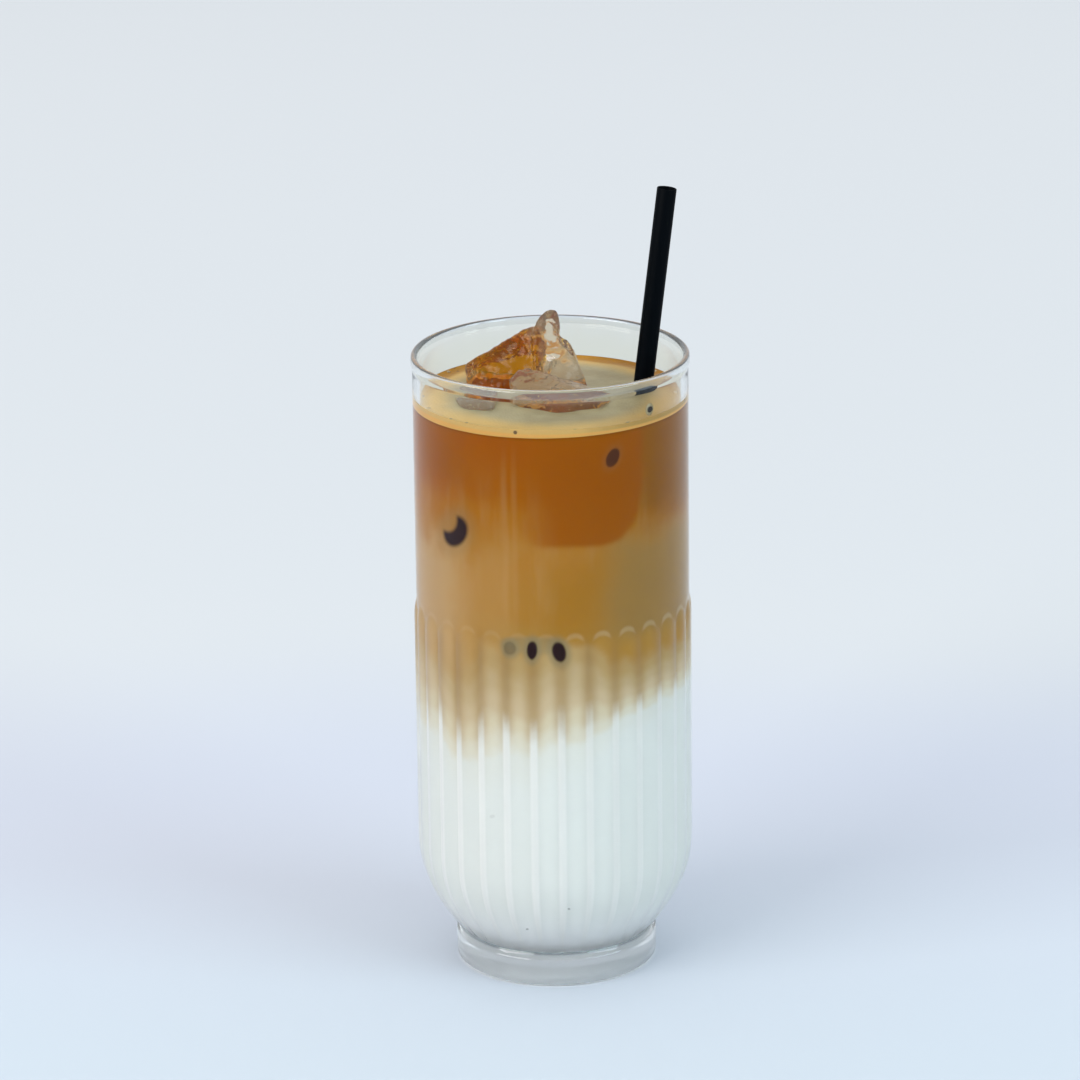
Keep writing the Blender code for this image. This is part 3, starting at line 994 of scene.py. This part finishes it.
@dataclass(frozen=True)
class IceFinish:
    """Wet melting ice: frosty with inner bubbles, stained amber where the coffee shows through."""

    name: str = "stained_ice"
    clear: Colour = (0.8, 0.7, 0.58)
    amber: Colour = (0.78, 0.36, 0.0)
    amber_places: Point4 = (-20.5, -14.5, -0.5, 1.5)
    amber_heights: Span = (167.0, 160.0)
    amber_share: float = 1.0
    waver: Grain = Grain(160.0, 3.0, 0.6)
    waver_reach: float = 6.0
    frost: Colour = (0.88, 0.8, 0.7)
    bubble_scale: float = 620.0
    bubble_edge: Span = (0.3, 0.12)
    bubble_limit: float = 0.8
    bubble_areas: Grain = Grain(210.0, 2.0)
    bubble_area_edge: Span = (0.5, 0.62)
    crack_scale: float = 150.0
    crack_width: float = 0.05
    crack_depth: float = 0.2
    crack_drift: Grain = Grain(120.0, 2.0)
    crack_drift_reach: float = 12.0
    wave: Grain = Grain(200.0, 3.0)
    wave_height: float = 1.5
    calm_share: float = 0.7
    relief: float = 0.3
    relief_depth: float = 0.7
    polish: Grain = Grain(330.0, 2.0)
    polish_edge: Span = (0.35, 0.65)
    roughness: Span = (0.02, 0.14)
    sheen: Colour = (0.6, 0.6, 0.6)
    clearness: float = 0.94

    def make(self) -> bpy.types.Material:
        """Make the material.

        Returns:
            The material.
        """
        tree = Tree(self.name, self.clear)
        place = tree.place()
        axes = tree.axes(place)
        waver = tree.product(tree.noise(place, self.waver), self.waver_reach * MM)
        across = tree.total(axes["X"], waver)
        height = tree.math("SUBTRACT", axes["Z"], waver)
        stain = tree.product(
            tree.window(across, *metres(self.amber_places)),
            tree.step(height, *metres(self.amber_heights)),
            self.amber_share,
        )
        areas = tree.step(tree.noise(place, self.bubble_areas), *self.bubble_area_edge)
        bubbles = tree.step(tree.cells(place, self.bubble_scale), *self.bubble_edge)
        unstained = tree.math("SUBTRACT", self.bubble_limit, stain)
        bubbles = tree.math("MULTIPLY", tree.product(bubbles, areas), unstained, clamp=True)
        tree.cover(stain, self.amber)
        tree.cover(bubbles, self.frost)
        waves = tree.product(tree.noise(place, self.wave), self.wave_height)
        calm = tree.math("SUBTRACT", 1.0, tree.product(stain, self.calm_share))
        relief = tree.product(tree.total(self.cracks(tree, place), waves, bubbles), calm)
        tree.bump(relief, self.relief, self.relief_depth)
        polish = tree.noise(place, self.polish)
        return tree.finish(
            Roughness=tree.step(polish, *self.polish_edge, *self.roughness),
            IOR=1.31,
            Transmission_Weight=self.clearness,
            Specular_Tint=self.sheen,
        )

    def cracks(self, tree: Tree, place: Socket) -> Socket:
        """Give the height of a crazed surface, which falls in along warped cracks.

        Args:
            tree: the material's tree.
            place: the Object coordinates.

        Returns:
            The height.
        """
        reach = (self.crack_drift_reach * MM,) * 3
        drift = tree.vector("MULTIPLY", tree.noise(place, self.crack_drift, "Color"), reach)
        warped = tree.vector("ADD", place, drift)
        cracks = tree.cells(warped, self.crack_scale, "DISTANCE_TO_EDGE")
        return tree.step(cracks, 0.0, self.crack_width, 0.0, self.crack_depth)


ICE_FINISHES = (
    ("ice_peak", IceFinish()),
    (
        "ice_front",
        IceFinish("brown_ice", clear=(0.76, 0.62, 0.47), amber_share=0.1, clearness=0.92, relief=0.8),
    ),
    (
        "ice_low",
        IceFinish(
            "sunk_ice",
            clear=(0.86, 0.79, 0.62),
            frost=(0.9, 0.84, 0.7),
            amber_share=0.0,
            clearness=0.78,
            relief=0.7,
        ),
    ),
)


@dataclass(frozen=True)
class BubbleFinish:
    """The thin skin of a cream bubble, half clear."""

    colour: Colour = (0.78, 0.62, 0.36)
    pale: Colour = (0.9, 0.8, 0.58)
    patches: Grain = Grain(900.0, 2.0)
    ripple: Grain = Grain(1200.0, 2.0)
    clearness: float = 0.55

    def make(self) -> bpy.types.Material:
        """Make the material.

        Returns:
            The material.
        """
        tree = Tree("cream_bubble", self.colour)
        place = tree.place()
        tree.cover(tree.noise(place, self.patches), self.pale)
        tree.bump(tree.noise(place, self.ripple), strength=0.1, depth=0.1)
        return tree.finish(Roughness=0.12, IOR=1.2, Transmission_Weight=self.clearness)


@dataclass(frozen=True)
class DropFinish:
    """A dark drop of coffee with a paler rim, on the glass's inner wall."""

    core: Colour = (0.035, 0.025, 0.016)
    rim: Colour = (0.42, 0.35, 0.2)
    rim_edge: Span = (0.95, 1.35)
    waver: Grain = Grain(700.0, 2.0)
    waver_reach: float = 0.5

    def make(self, centre: Vector) -> bpy.types.Material:
        """Make the material.

        Args:
            centre: the drop's centre in millimetres.

        Returns:
            The material.
        """
        tree = Tree("coffee_drop", self.core)
        place = tree.place()
        waver = tree.product(tree.noise(place, self.waver), self.waver_reach * MM)
        reach = tree.total(tree.distance(place, metres(centre)), waver)
        tree.cover(tree.step(reach, *metres(self.rim_edge)), self.rim)
        return tree.finish(Roughness=0.15, Specular_IOR_Level=0.3)


@dataclass(frozen=True)
class StrawFinish:
    """Black satin plastic with faint lines drawn along it."""

    colour: Colour = (0.0004, 0.001, 0.0018)
    dull: Colour = (0.0009, 0.0017, 0.0028)
    lines: Grain = Grain(1500.0, 2.0)
    line_draw: float = 0.05
    roughness: Span = (0.4, 0.5)

    def make(self) -> bpy.types.Material:
        """Make the material.

        Returns:
            The material.
        """
        tree = Tree("black_plastic", self.colour)
        lines = tree.noise(tree.drawn(tree.place(), self.line_draw), self.lines)
        tree.cover(lines, self.dull)
        tree.bump(lines, strength=0.08, depth=0.1)
        roughness = tree.step(lines, 0.0, 1.0, *self.roughness)
        return tree.finish(Roughness=roughness, Specular_IOR_Level=0.025)


# Pieces


@dataclass
class RibbedGlass:
    """The footed glass with its flutes, as one fine skin."""

    finish: GlassFinish = GlassFinish()
    lip_finish: GlassFinish = LIP_FINISH
    foot_finish: GlassFinish = FOOT_FINISH
    lip_bulge: float = 0.15
    lip_pieces: int = 12
    bead_outline: tuple[Point3, ...] = (
        (1.0, 1.0, 0.6),
        (1.0, 0.7, 1.0),
        (0.0, 0.4, 1.3),
        (0.0, 0.0, 1.6),
    )
    flare_length: float = 6.0
    inner_pieces: int = 6
    band_pieces: int = 3
    rib_end_pieces: int = 16
    side_pieces: int = 6
    rib_clearance: float = 0.4
    curve_clearance: float = 2.0
    shoulder_arc: tuple[float, float, int] = (60.0, 0.0, 4)
    toe_arc: tuple[float, float, int] = (0.0, -90.0, 6)
    recess_slope: float = 0.7
    foot_finish_drop: float = 0.4
    inner_reach: float = 0.8
    outer_reach: float = 0.6
    steps_per_rib: int = 16
    name: str = "ribbed_glass"

    def mouth(self) -> list[Point2]:
        """List the outline of the rounded lip and the bead under it.

        A row of bead_outline has shares of the rim's overhang, the bulge and the bead's height.

        Returns:
            Radius and height of each point.
        """
        form = FORM
        inner = form.cavity_radius + form.lip_flare
        middle, half = (inner + form.rim_radius) / 2, (form.rim_radius - inner) / 2
        angles = [math.pi * (1 - step / self.lip_pieces) for step in range(self.lip_pieces + 1)]
        top = form.height - form.lip
        outline = [(middle + half * math.cos(a), top + form.lip * math.sin(a)) for a in angles]
        overhang = form.rim_radius - form.band_radius
        for out, bulge, down in self.bead_outline:
            radius = form.band_radius + out * overhang + bulge * self.lip_bulge
            outline.append((radius, form.height - form.bead_height * down))
        return outline

    def foot(self) -> list[Point2]:
        """List the outline of the foot, from its shoulder round to the recess under it.

        Returns:
            Radius and height of each point.
        """
        form = FORM
        shoulder_radius = form.foot_radius - form.foot_shoulder
        shoulder_height = form.crease_height - 2 * form.foot_shoulder
        shoulder = arc((shoulder_radius, shoulder_height), form.foot_shoulder, *self.shoulder_arc)
        toe_radius = form.foot_radius - form.foot_rounding
        toe = arc((toe_radius, form.foot_rounding), form.foot_rounding, *self.toe_arc)
        return shoulder + toe + [
            (form.rest_ring_inner, 0.0),
            (form.rest_ring_inner - self.recess_slope, form.recess_depth / 2),
            (form.recess_radius, form.recess_depth),
            (form.recess_radius / 2, form.recess_depth),
            (0.0, form.recess_depth),
        ]

    def profile(self) -> list[Point2]:
        """List the glass's outline from the middle of its inner floor over the lip to its base.

        Returns:
            Radius and height of each point.
        """
        form = FORM
        inner = list(reversed(form.cavity()))
        flare = (form.cavity_radius, form.height - self.flare_length)
        inner += spread(inner[-1], flare, self.inner_pieces)
        mouth = self.mouth()
        rib_end = (form.band_radius, form.rib_full_top + form.rib_end_length + self.rib_clearance)
        band = spread(mouth[-1], rib_end, self.band_pieces)
        ends = spread(band[-1], (form.band_radius, form.rib_full_top), self.rib_end_pieces)
        above_curve = (form.band_radius, form.curve_top + self.curve_clearance)
        side = spread(ends[-1], above_curve, self.side_pieces)
        return inner + mouth + band + ends + side + form.lower_curve() + self.foot()

    def build(self) -> bpy.types.Object:
        """Build the glass.

        Returns:
            The piece.
        """
        form = FORM
        shape = turn_profile(self.profile(), form.rib_count * self.steps_per_rib)
        shape.normal_update()
        moves = []
        for vert in shape.verts:
            height = vert.co.z / MM
            if vert.co.xy.length / MM < self.wall_middle(height):
                continue
            azimuth_deg = math.degrees(math.atan2(vert.co.y, vert.co.x))
            moves.append((vert, vert.normal * form.rib_rise(azimuth_deg, height) * MM))
        for vert, move in moves:
            vert.co += move
        item = to_object(self.name, shape, self.finish.make())
        item.data.materials.append(self.lip_finish.make())
        item.data.materials.append(self.foot_finish.make())
        lip = (form.height - form.bead_height) * MM
        foot = (form.crease_height - self.foot_finish_drop) * MM
        for face in item.data.polygons:
            if face.center.z > lip:
                face.material_index = 1
            elif face.center.z < foot:
                face.material_index = 2
        return settle(item, Slot.GLASS, "glass")

    def wall_middle(self, height: float) -> float:
        """Give the radius that parts the wall's outer skin from its inner one.

        Args:
            height: the height above the table.

        Returns:
            The radius in millimetres.
        """
        if height >= FORM.curve_top:
            return FORM.cavity_radius + self.inner_reach
        curve = FORM.lower_curve()
        for upper, lower in zip(curve, curve[1:]):
            if lower[1] <= height <= upper[1]:
                share = (height - lower[1]) / (upper[1] - lower[1])
                return lower[0] + (upper[0] - lower[0]) * share - self.outer_reach
        return FORM.crease_radius


@dataclass
class LayeredDrink:
    """The drink up to the foam, one body that reaches just into the wall."""

    finish: DrinkFinish = DrinkFinish()
    bite: float = 0.15
    top: float = 150.3
    slope: float = 0.012
    top_margin: float = 0.01
    surface_radii: tuple[float, ...] = (0.0, 11.0, 22.0, 30.0)
    side_pieces: int = 8
    steps: int = 240
    name: str = "drink"

    def build(self) -> bpy.types.Object:
        """Build the drink, still without its pockets for ice.

        Returns:
            The piece.
        """
        wall = FORM.cavity(self.bite)
        edge = wall[0][0]
        surface = [(radius, self.top) for radius in (*self.surface_radii, edge)]
        side = spread((edge, self.top), wall[0], self.side_pieces)
        shape = turn_profile(surface + side + wall[1:], self.steps)
        for vert in shape.verts:
            if vert.co.z > (self.top - self.top_margin) * MM:
                vert.co.z += self.slope * vert.co.x
        item = to_object(self.name, shape, self.finish.make())
        return settle(item, Slot.COFFEE, "milk", "milk_coffee", "coffee")


@dataclass
class FoamLayer:
    """The thin cream on the drink, drawn a little up the wall.

    The scale of its swell counts for each metre.
    """

    finish: FoamFinish = FoamFinish()
    bite: float = 0.15
    bottom: float = 150.3
    bottom_margin: float = 0.1
    top: float = 151.9
    slope: float = 0.012
    climb: float = 0.5
    climb_pieces: int = 6
    ring_shares: tuple[float, ...] = (
        0.0, 0.08, 0.16, 0.24, 0.32, 0.4, 0.48, 0.56, 0.64, 0.72, 0.8, 0.87, 0.92,
    )
    under_share: float = 0.6
    flat_share: float = 0.93
    swell: float = 0.18
    swell_scale: float = 120.0
    steps: int = 240
    name: str = "cream_foam"

    def build(self) -> bpy.types.Object:
        """Build the foam.

        Returns:
            The piece.
        """
        edge = FORM.cavity_radius + self.bite
        upper = [(edge * share, self.top) for share in self.ring_shares]
        inner = upper[-1][0]
        for step in range(1, self.climb_pieces + 1):
            share = step / self.climb_pieces
            upper.append((inner + (edge - inner) * share, self.top + self.climb * share**3))
        lower = [(edge, self.bottom), (edge * self.under_share, self.bottom), (0.0, self.bottom)]
        shape = turn_profile(upper + lower, self.steps)
        for vert in shape.verts:
            if vert.co.z < (self.bottom + self.bottom_margin) * MM:
                vert.co.z += self.slope * vert.co.x
            elif vert.co.xy.length < edge * self.flat_share * MM:
                spot = Vector((vert.co.x, vert.co.y, 0.0)) * self.swell_scale
                vert.co.z += noise.noise(spot) * self.swell * MM
        item = to_object(self.name, shape, self.finish.make(), sharp_deg=60.0)
        return settle(item, Slot.FOAM, "foam")


@dataclass
class CreamBubbles:
    """Small bubbles that sit on the cream by the wall and the straw."""

    finish: BubbleFinish = BubbleFinish()
    surface: float = 151.95
    smallest: float = 0.22
    largest: float = 0.6
    flatness: float = 0.8
    wall_radius: float = 33.3
    wall_gap: float = 0.9
    wall_count: int = 26
    straw_place: Point2 = (23.5, 4.0)
    straw_radius: float = 2.5
    straw_gap: float = 0.5
    straw_size_share: float = 0.8
    straw_count: int = 9
    seed: int = 11
    name: str = "cream_bubbles"

    def build(self) -> bpy.types.Object:
        """Build all the bubbles as one piece.

        Returns:
            The piece.
        """
        chance = random.Random(self.seed)
        shape = bmesh.new()
        for _ in range(self.wall_count):
            size = chance.uniform(self.smallest, self.largest)
            turn = chance.uniform(0.0, math.tau)
            reach = self.wall_radius - size - chance.uniform(0.0, self.wall_gap)
            self.blow(shape, (0.0, 0.0), reach, turn, size)
        for _ in range(self.straw_count):
            size = chance.uniform(self.smallest, self.largest * self.straw_size_share)
            turn = chance.uniform(0.0, math.tau)
            reach = self.straw_radius + size + chance.uniform(0.0, self.straw_gap)
            self.blow(shape, self.straw_place, reach, turn, size)
        item = to_object(self.name, shape, self.finish.make())
        return settle(item, Slot.FOAM)

    def blow(
        self, shape: bmesh.types.BMesh, middle: Point2, reach: float, turn: float, size: float
    ) -> None:
        """Add one bubble, a little flattened.

        Args:
            shape: the mesh in the making.
            middle: the point that the bubble lies round.
            reach: how far from it.
            turn: in which direction, in radians.
            size: the bubble's radius.
        """
        x, y = middle[0] + reach * math.cos(turn), middle[1] + reach * math.sin(turn)
        place = Matrix.Translation(Vector((x, y, self.surface)) * MM)
        squash = Matrix.Diagonal((1.0, 1.0, self.flatness, 1.0))
        bmesh.ops.create_icosphere(shape, subdivisions=2, radius=size * MM, matrix=place @ squash)


@dataclass
class WallDrop:
    """One drop that clings to the inner wall above the cream."""

    finish: DropFinish = DropFinish()
    azimuth_deg: float = 46.2
    height: float = 154.4
    half_sizes: Point3 = (1.35, 0.4, 1.6)
    lift: float = 0.1
    name: str = "wall_drop"

    def build(self) -> bpy.types.Object:
        """Build the drop flat on the wall.

        Returns:
            The piece.
        """
        turn = math.radians(self.azimuth_deg)
        out = Vector((math.sin(turn), -math.cos(turn), 0.0))
        centre = out * (FORM.cavity_radius - self.lift) + Vector((0.0, 0.0, self.height))
        shape = bmesh.new()
        bmesh.ops.create_uvsphere(shape, u_segments=32, v_segments=20, radius=MM)
        sizes = Matrix.Diagonal((*self.half_sizes, 1.0))
        place = Matrix.Translation(centre * MM) @ Matrix.Rotation(turn, 4, "Z") @ sizes
        bmesh.ops.transform(shape, matrix=place, verts=shape.verts)
        item = to_object(self.name, shape, self.finish.make(centre))
        return settle(item, Slot.COFFEE)


@dataclass
class DrinkingStraw:
    """The black straw, an open tube with softened ends."""

    finish: StrawFinish = StrawFinish()
    radius: float = 2.5
    wall: float = 0.3
    surface_point: Point3 = (23.5, 4.0, 151.9)
    top_point: Point3 = (29.9, 6.0, 203.5)
    foot_height: float = 10.4
    end_pieces: int = 6
    length_pieces: int = 10
    steps: int = 72
    name: str = "straw_tube"

    def build(self) -> bpy.types.Object:
        """Build the straw along its own line.

        Returns:
            The piece.
        """
        surface, top = Vector(self.surface_point), Vector(self.top_point)
        up = (top - surface).normalized()
        foot = surface - up * ((surface.z - self.foot_height) / up.z)
        length = (top - foot).length
        half = self.wall / 2
        middle = self.radius - half
        upper = arc((middle, length - half), half, 0.0, 180.0, self.end_pieces)
        lower = arc((middle, half), half, 180.0, 360.0, self.end_pieces)
        inside = spread(upper[-1], lower[0], self.length_pieces)
        outside = spread(lower[-1], upper[0], self.length_pieces)
        shape = turn_profile(upper + inside + lower[1:] + outside, self.steps)
        turn = up.to_track_quat("Z", "Y").to_matrix().to_4x4()
        place = Matrix.Translation(foot * MM) @ turn
        bmesh.ops.transform(shape, matrix=place, verts=shape.verts)
        bmesh.ops.recalc_face_normals(shape, faces=shape.faces)
        item = to_object(self.name, shape, self.finish.make())
        return settle(item, Slot.STRAW, "straw")


@dataclass
class MeltingIce:
    """Lumps of ice that stand out of the foam, made finer and softer than their solids.

    The scales of its ripple and its dimples count for each millimetre.
    """

    frame: dict
    finishes: tuple[tuple[str, IceFinish], ...] = ICE_FINISHES
    voxel: float = 0.42
    smoothing: int = 2
    ripple: float = 0.2
    ripple_scale: float = 0.32
    ripple_octaves: tuple[float, float, int] = (0.9, 2.1, 3)
    dimple_scale: float = 0.9
    dimple_share: float = 0.6
    swell: float = 0.08
    pocket_gap: float = 0.12
    pocket_merge: float = 0.001

    def build(self) -> list[bpy.types.Object]:
        """Build every lump."""
        return [self.lump(node, finish.make()) for node, finish in self.finishes]

    def lump(self, node: str, material: bpy.types.Material) -> bpy.types.Object:
        """Build one lump over its solid's form.

        Args:
            node: the CAD node.
            material: the ice's material.

        Returns:
            The piece.
        """
        item = link_object(node + "_clear", self.frame["nodes"][node].data.copy())
        remesh = item.modifiers.new("grain", "REMESH")
        remesh.mode = "VOXEL"
        remesh.voxel_size = self.voxel * MM
        remesh.use_smooth_shade = True
        apply_modifiers(item)
        shape = bmesh.new()
        shape.from_mesh(item.data)
        sides = {"use_axis_x": True, "use_axis_y": True, "use_axis_z": True}
        for _ in range(self.smoothing):
            bmesh.ops.smooth_vert(shape, verts=shape.verts, factor=0.5, **sides)
        shape.normal_update()
        for vert in shape.verts:
            spot = vert.co / MM
            wave = noise.fractal(spot * self.ripple_scale, *self.ripple_octaves)
            wave += self.dimple_share * noise.noise(spot * self.dimple_scale)
            vert.co += vert.normal * (wave * self.ripple + self.swell) * MM
        shape.to_mesh(item.data)
        shape.free()
        item.data.materials.clear()
        item.data.materials.append(material)
        item.data.shade_smooth()
        return settle(item, Slot.ICE, node)

    def cut_pockets(self, liquids: Sequence[bpy.types.Object]) -> None:
        """Cut a place for each lump into the liquids, a little smaller than the lump.

        Args:
            liquids: the drink and the foam.
        """
        for node, _ in self.finishes:
            shape = bmesh.new()
            shape.from_mesh(self.frame["nodes"][node].data)
            bmesh.ops.remove_doubles(shape, verts=shape.verts, dist=self.pocket_merge * MM)
            shape.normal_update()
            for vert in shape.verts:
                vert.co -= vert.normal * self.pocket_gap * MM
            mesh = bpy.data.meshes.new(node + "_pocket")
            shape.to_mesh(mesh)
            shape.free()
            cutter = link_object(node + "_pocket", mesh)
            for liquid in liquids:
                cut = liquid.modifiers.new("pocket", "BOOLEAN")
                cut.operation = "DIFFERENCE"
                cut.object = cutter
                bpy.context.view_layer.update()
                apply_modifiers(liquid)
            bpy.data.objects.remove(cutter, do_unlink=True)


# Studio


@dataclass
class PhotoCamera:
    """The camera as fitted to the photograph."""

    focal_px: float = 5467.0
    image_px: float = 1080.0
    sensor: float = 36.0
    clip_m: Span = (0.05, 50.0)
    distance: float = 1397.0
    elevation_deg: float = 18.098
    roll_deg: float = -0.706
    aim: Point3 = (-3.103, 0.0, 112.77)

    def build(self) -> bpy.types.Object:
        """Place the camera.

        Returns:
            The camera.
        """
        data = bpy.data.cameras.new("photo_camera")
        data.sensor_width = self.sensor
        data.sensor_fit = "HORIZONTAL"
        data.lens = self.sensor * self.focal_px / self.image_px
        data.clip_start, data.clip_end = self.clip_m
        camera = link_object("photo_camera", data)
        tilt, roll = math.radians(self.elevation_deg), math.radians(self.roll_deg)
        back = Vector((0.0, -math.cos(tilt), math.sin(tilt)))
        right = Vector((1.0, 0.0, 0.0))
        up = back.cross(right)
        across = right * math.cos(roll) + up * math.sin(roll)
        above = up * math.cos(roll) - right * math.sin(roll)
        spot = (Vector(self.aim) + back * self.distance) * MM
        turn = Matrix((across, above, back)).transposed().to_4x4()
        camera.matrix_world = Matrix.Translation(spot) @ turn
        bpy.context.scene.camera = camera
        return camera


@dataclass(frozen=True)
class Softbox:
    """One soft area light that looks at the glass."""

    name: str
    azimuth_deg: float
    elevation_deg: float
    distance: float
    width: float
    height: float
    watts: float
    colour: Colour

    def build(self, target: Vector) -> bpy.types.Object:
        """Place the light.

        Args:
            target: the point that it looks at, in metres.

        Returns:
            The light.
        """
        data = bpy.data.lights.new(self.name, "AREA")
        data.shape = "RECTANGLE"
        data.size, data.size_y = self.width * MM, self.height * MM
        data.energy = self.watts
        data.color = self.colour
        item = link_object(self.name, data)
        turn, rise = math.radians(self.azimuth_deg), math.radians(self.elevation_deg)
        level = math.cos(rise)
        away = Vector((math.sin(turn) * level, -math.cos(turn) * level, math.sin(rise)))
        item.location = target + away * self.distance * MM
        item.rotation_mode = "QUATERNION"
        item.rotation_quaternion = away.to_track_quat("Z", "Y")
        item.visible_camera = False
        return item


@dataclass
class Studio:
    """A plain pale floor, a pale sky and soft lights."""

    sky: Colour = (0.93, 0.965, 1.0)
    sky_strength: float = 1.008
    floor_stops: Stops = (
        (-100.0, (0.522, 0.58, 0.64)),
        (110.0, (0.545, 0.571, 0.647)),
        (270.0, (0.594, 0.612, 0.634)),
        (1100.0, (0.634, 0.647, 0.665)),
    )
    floor_radius: float = 9000.0
    floor_waver: Grain = Grain(2.5)
    floor_waver_reach: float = 120.0
    glow: Colour = (0.98, 0.99, 1.0)
    glow_edge: Span = (26.5, 23.5)
    light_height: float = 100.0
    lights: tuple[Softbox, ...] = (
        Softbox("key_left", -52.0, 22.0, 2600.0, 1900.0, 1300.0, 49.3, (1.0, 0.985, 0.95)),
        Softbox("fill_right", 58.0, 22.0, 2800.0, 1900.0, 1300.0, 42.6, (0.76, 0.94, 1.0)),
    )

    def build(self) -> None:
        """Build the floor, the world and the lights."""
        scene = bpy.context.scene
        scene.view_settings.view_transform = "Standard"
        world = bpy.data.worlds.new("pale_sky")
        world.use_nodes = True
        background = world.node_tree.nodes["Background"]
        background.inputs["Color"].default_value = (*self.sky, 1.0)
        background.inputs["Strength"].default_value = self.sky_strength
        scene.world = world
        for light in self.lights:
            light.build(Vector((0.0, 0.0, self.light_height * MM)))
        shape = bmesh.new()
        bmesh.ops.create_circle(shape, cap_ends=True, segments=96, radius=self.floor_radius * MM)
        floor = to_object("floor", shape, self.floor_material())

    def floor_material(self) -> bpy.types.Material:
        """Make the floor's pale finish, lighter under the foot for the light that glass gathers.

        Returns:
            The material.
        """
        tree = Tree("pale_paper")
        place = tree.place()
        depth = tree.product(tree.axes(place)["Y"], 1 / MM)
        waver = tree.product(tree.sway(place, self.floor_waver), self.floor_waver_reach)
        tree.colour = tree.ramp(tree.total(depth, waver), self.floor_stops)
        lit = tree.step(tree.distance(place), *metres(self.glow_edge))
        tree.cover(lit, self.glow)
        return tree.finish(Roughness=0.9, Specular_IOR_Level=0.1)


def main() -> None:
    """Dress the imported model, light it and set the camera."""
    logging.basicConfig(level=logging.INFO, format="%(message)s")
    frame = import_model()

    glass = RibbedGlass().build()
    drink = LayeredDrink().build()
    foam = FoamLayer().build()
    ice = MeltingIce(frame)
    ice.cut_pockets((drink, foam))
    lumps = ice.build()
    straw = DrinkingStraw().build()
    bubbles = CreamBubbles().build()
    drop = WallDrop().build()
    for piece in (glass, drink, foam, straw, bubbles, drop, *lumps):
        log.info("%s: %d faces", piece.name, len(piece.data.polygons))

    Studio().build()
    PhotoCamera().build()


if __name__ == "__main__":
    main()
